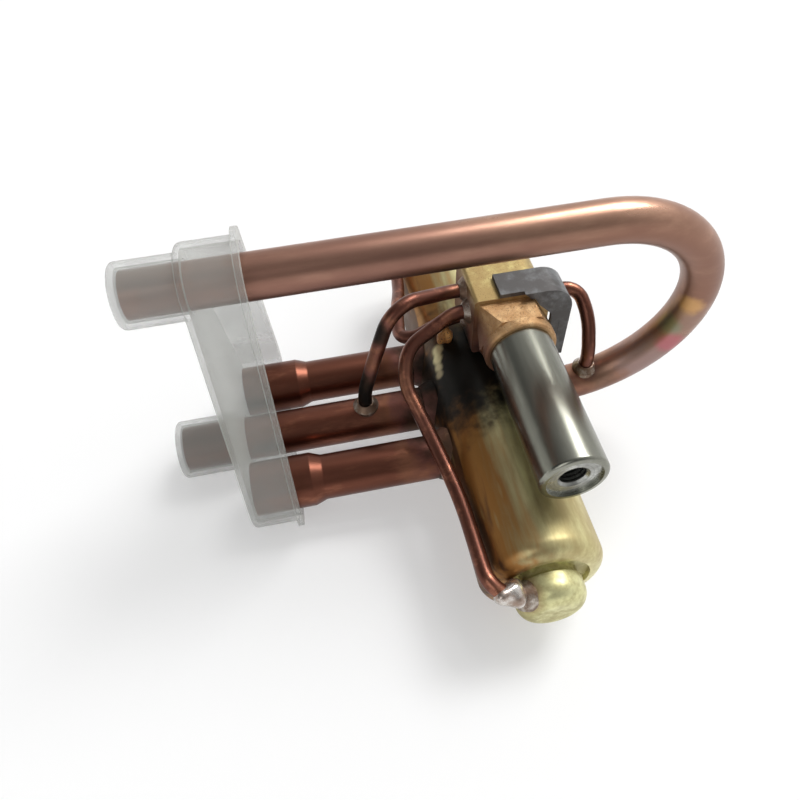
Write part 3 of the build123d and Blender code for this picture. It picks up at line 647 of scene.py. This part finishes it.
# %% Milky plastic
def milky_plastic():
    """Thin translucent plastic with a faint flow pattern."""
    material, tree, shader, place = new_finish("Milky plastic of the transport cap")
    coat = group_node(
        tree, TARNISH, Place=place, Clean=(0.62, 0.64, 0.60), Dull=(0.50, 0.51, 0.48), Patch=7.0, Amount=0.45
    )
    marks = group_node(tree, SCUFF, Place=place, Stretch=(0.2, 1, 1), Size=1.5)
    tree.links.new(coat["Color"], shader.inputs["Base Color"])
    tree.links.new(calc(tree, "MULTIPLY_ADD", marks["Height"], 0.2, 0.42), shader.inputs["Roughness"])
    grazing = put(tree, "ShaderNodeLayerWeight", {"Blend": 0.45}).outputs["Facing"]
    solid = fade(tree, coat["Mask"], 0.0, 1.0, 0.17, 0.25)
    solid = calc(tree, "MULTIPLY_ADD", calc(tree, "POWER", grazing, 2.0), 0.4, solid)
    tree.links.new(solid, shader.inputs["Alpha"])
    emboss(tree, shader, marks["Height"], 0.35, 0.05)
    shader.inputs["IOR"].default_value = 1.5
    return material


cap_plastic = milky_plastic()

# %% [markdown]
# Each CAD node now gets its finish in its own material slot.

# %% Dress the CAD nodes
FINISH_OF_SLOT = {
    "valve_barrel": barrel_brass,
    "end_cap": cap_brass,
    "port_seat": machined_brass,
    "copper_tube": copper,
    "service_tube": service_copper,
    "capillary": capillary_copper,
    "pilot_body": forged_brass,
    "pilot_seat": machined_brass,
    "pilot_bracket": bracket_steel,
    "plunger_sleeve": sleeve_steel,
    "fixed_core": core_steel,
    "shading_ring": capillary_copper,
    "pilot_plunger": turned_steel,
    "plunger_spring": spring_steel,
    "slider_carrier": turned_steel,
    "pilot_slider": dark_nylon,
    "slide_block": dark_nylon,
    "slide_frame": turned_steel,
    "piston_plate": turned_steel,
    "piston_cup": white_seal,
    "cup_spring": spring_steel,
    "piston_screws": turned_steel,
    "tube_brazing": braze,
    "capillary_brazing": solder,
    "transport_cap": cap_plastic,
}
slot_of_node = {entry["node"]: entry["material_slot"] for entry in frame["record"]["subparts"]}
for name, node in frame["nodes"].items():
    finish = FINISH_OF_SLOT[slot_of_node[name]]
    for index in range(max(1, len(node.material_slots))):
        if index < len(node.material_slots):
            node.material_slots[index].material = finish
        else:
            node.data.materials.append(finish)
print("dressed", len(frame["nodes"]), "nodes")

# %% [markdown]
# The brazing left a few lumps that the CAD beads are too neat for: a porous orange crumb beside the
# block, and a silver blob that ran along the capillary at the front nub. The bracket's front ear
# also closes up to the collar. They ride on the valve like the pieces that they belong to.

# %% Lumps of braze, and the ear of the bracket
def crumb_finish():
    """Orange burnt flux, full of black holes."""
    material, tree, shader, place = new_finish("Porous crumb of flux")
    skin = group_node(tree, SKIN, Place=place, Grain=0.45)
    coat = group_node(
        tree, TARNISH, Place=place, Clean=(0.72, 0.36, 0.10), Dull=(0.42, 0.17, 0.05), Patch=1.5, Amount=0.45
    )
    colour = colours(tree, skin["Pits"], coat["Color"], (0.04, 0.02, 0.01))
    tree.links.new(colour, shader.inputs["Base Color"])
    tree.links.new(calc(tree, "MULTIPLY_ADD", skin["Height"], 0.3, 0.35), shader.inputs["Roughness"])
    emboss(tree, shader, skin["Height"], 0.8, 0.25)
    return material


def lump(name, centre, size, turn, finish):
    """A ball squeezed and turned into a lump, with a slightly uneven surface."""
    bpy.ops.object.select_all(action="DESELECT")
    bpy.ops.mesh.primitive_ico_sphere_add(subdivisions=4, radius=1.0)
    piece = bpy.context.object
    piece.name = name
    shape = Matrix.Rotation(math.radians(turn[1]), 4, "Y") @ Matrix.Rotation(math.radians(turn[0]), 4, "Z")
    for vertex in piece.data.vertices:
        way = vertex.co.copy()
        swell = 1 + 0.08 * math.sin(5 * way.x + 2 * way.z) + 0.07 * math.sin(4 * way.y - 3 * way.x)
        squeezed = Vector((way.x * size[0], way.y * size[1], way.z * size[2])) * swell
        vertex.co = ((shape @ squeezed) + Vector(centre)) * MM
    bpy.ops.object.shade_smooth()
    piece.data.materials.append(finish)
    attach(piece, "valve")
    print("lump:", name)


lump("flux_crumb", (-6.5, 9.4, 12.5), (1.8, 1.6, 2.3), (20, 15), crumb_finish())
lump("nub_braze", (-7.9, -48.4, 5.4), (3.7, 2.5, 2.4), (8, 34), bright_solder)

bpy.ops.object.select_all(action="DESELECT")
bpy.ops.mesh.primitive_cube_add(size=1.0)
ear = bpy.context.object
ear.name = "bracket_ear"
for vertex in ear.data.vertices:
    lean = 1.4 if vertex.co.z < 0 and vertex.co.x < 0 else 0.0
    across = 15.0 + vertex.co.x * 2.6 + lean
    vertex.co = Vector((across, 1.75 + vertex.co.y * 0.9, 17.0 + vertex.co.z * 12.5)) * MM
bevel = ear.modifiers.new("edge", "BEVEL")
bevel.width = 0.12 * MM
bevel.segments = 2
bpy.ops.object.modifier_apply(modifier=bevel.name)
ear.data.materials.append(bracket_steel)
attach(ear, "valve")
print("added the bracket's ear")

# %% [markdown]
# The valve lies on a pale floor. It rests on its barrel and on the edge of the transport cap, so
# the floor leans by a few degrees against the valve's own axes, and it lies a hair below the lowest
# point. The floor takes the shadow. Where it is seen, directly or in the metal, it is mixed with
# plain white, which keeps the shadow light.

# %% Floor
BARREL_RADIUS = 12.25
CAP_EDGE_BELOW = 9.2
CAP_EDGE_AWAY = 45.2
LEAN = math.atan((BARREL_RADIUS - CAP_EDGE_BELOW) / CAP_EDGE_AWAY)
bpy.ops.object.select_all(action="DESELECT")
bpy.ops.mesh.primitive_plane_add(size=30.0, location=(0, 0, -12.28 * MM), rotation=(0, LEAN, 0))
floor = bpy.context.object
floor.name = "floor"
floor_paint = bpy.data.materials.new("Pale floor")
floor_paint.use_nodes = True
floor_shader = next(n for n in floor_paint.node_tree.nodes if n.type == "BSDF_PRINCIPLED")
floor_shader.inputs["Base Color"].default_value = (0.97, 0.97, 0.97, 1)
floor_shader.inputs["Roughness"].default_value = 0.9
floor_shader.inputs["Specular IOR Level"].default_value = 0.1
floor_tree = floor_paint.node_tree
rays = put(floor_tree, "ShaderNodeLightPath").outputs
seen = calc(floor_tree, "MAXIMUM", rays["Is Camera Ray"], rays["Is Transmission Ray"])
seen = calc(floor_tree, "MAXIMUM", seen, rays["Is Glossy Ray"])
white = put(floor_tree, "ShaderNodeEmission", {"Color": (1, 1, 1, 1), "Strength": 1.0})
share = calc(floor_tree, "MULTIPLY", seen, 0.4)
blended = put(floor_tree, "ShaderNodeMixShader", {0: share, 1: floor_shader.outputs[0], 2: white.outputs[0]})
floor_end = next(n for n in floor_tree.nodes if n.type == "OUTPUT_MATERIAL")
floor_tree.links.new(blended.outputs[0], floor_end.inputs["Surface"])
floor.data.materials.append(floor_paint)
print("floor leans", round(math.degrees(LEAN), 1), "degrees")

# %% [markdown]
# One large soft lamp stands behind and to the right, which is where the bright line on the sleeve
# and the glint on the bend come from. A weak one fills the front. The world is bright towards the
# lamp's side and dim on the other, so the metals have something to reflect, and it is pale near the
# horizon, where it can be seen behind the floor.

# %% Light
def softbox(name, direction, distance, size, power):
    """A square area lamp that faces the valve."""
    towards = Vector(direction).normalized()
    data = bpy.data.lights.new(name, "AREA")
    data.shape = "SQUARE"
    data.size = size
    data.energy = power
    lamp = bpy.data.objects.new(name, data)
    lamp.location = towards * distance
    lamp.rotation_euler = towards.to_track_quat("Z", "Y").to_euler()
    bpy.context.scene.collection.objects.link(lamp)
    return lamp


softbox("key lamp", (0.50, 0.33, 0.80), 2.5, 1.07, 42)
softbox("fill lamp", (-0.6, -0.7, 0.7), 2.5, 1.6, 12)
world = bpy.data.worlds.new("Studio")
bpy.context.scene.world = world
world.use_nodes = True
sky = world.node_tree
for node in list(sky.nodes):
    sky.nodes.remove(node)
way = put(sky, "ShaderNodeTexCoord").outputs["Generated"]
bright = put(sky, "ShaderNodeVectorMath", {0: way, 1: (0.75, 0.45, 0.1)}, operation="DOT_PRODUCT")
level = fade(sky, bright.outputs["Value"], -0.35, 0.85, 0.12, 0.9)
height = put(sky, "ShaderNodeSeparateXYZ", {0: way}).outputs["Z"]
level = calc(sky, "MAXIMUM", level, fade(sky, height, 0.1, 0.42, 0.85, 0.0))
studio = put(sky, "ShaderNodeBackground", {"Color": (1, 1, 1, 1), "Strength": level})
put(sky, "ShaderNodeOutputWorld", {"Surface": studio.outputs[0]})
bpy.context.scene.view_settings.view_transform = "Standard"

# %% [markdown]
# The camera looks down from the front left. Its place and lens were worked out from the known tube
# sizes and the straight lines of the barrel and the tubes.

# %% Camera
CAMERA_PLACE = (-33.89, -93.19, 124.46)
CAMERA_RIGHT = (0.9803, -0.1954, -0.0281)
CAMERA_UP = (0.1708, 0.7681, 0.6172)
LENS = 31.06
right = Vector(CAMERA_RIGHT).normalized()
back = right.cross(Vector(CAMERA_UP)).normalized()
up = back.cross(right)
view_data = bpy.data.cameras.new("camera")
view_data.sensor_width = 36.0
view_data.lens = LENS
view_data.clip_start = 0.001
camera = bpy.data.objects.new("camera", view_data)
bpy.context.scene.collection.objects.link(camera)
turn = Matrix((right, up, back)).transposed().to_4x4()
camera.matrix_world = Matrix.Translation(Vector(CAMERA_PLACE) * MM) @ turn
bpy.context.scene.camera = camera
print("camera at", [round(c, 3) for c in camera.location])

# %% Finish
bpy.context.view_layer.update()
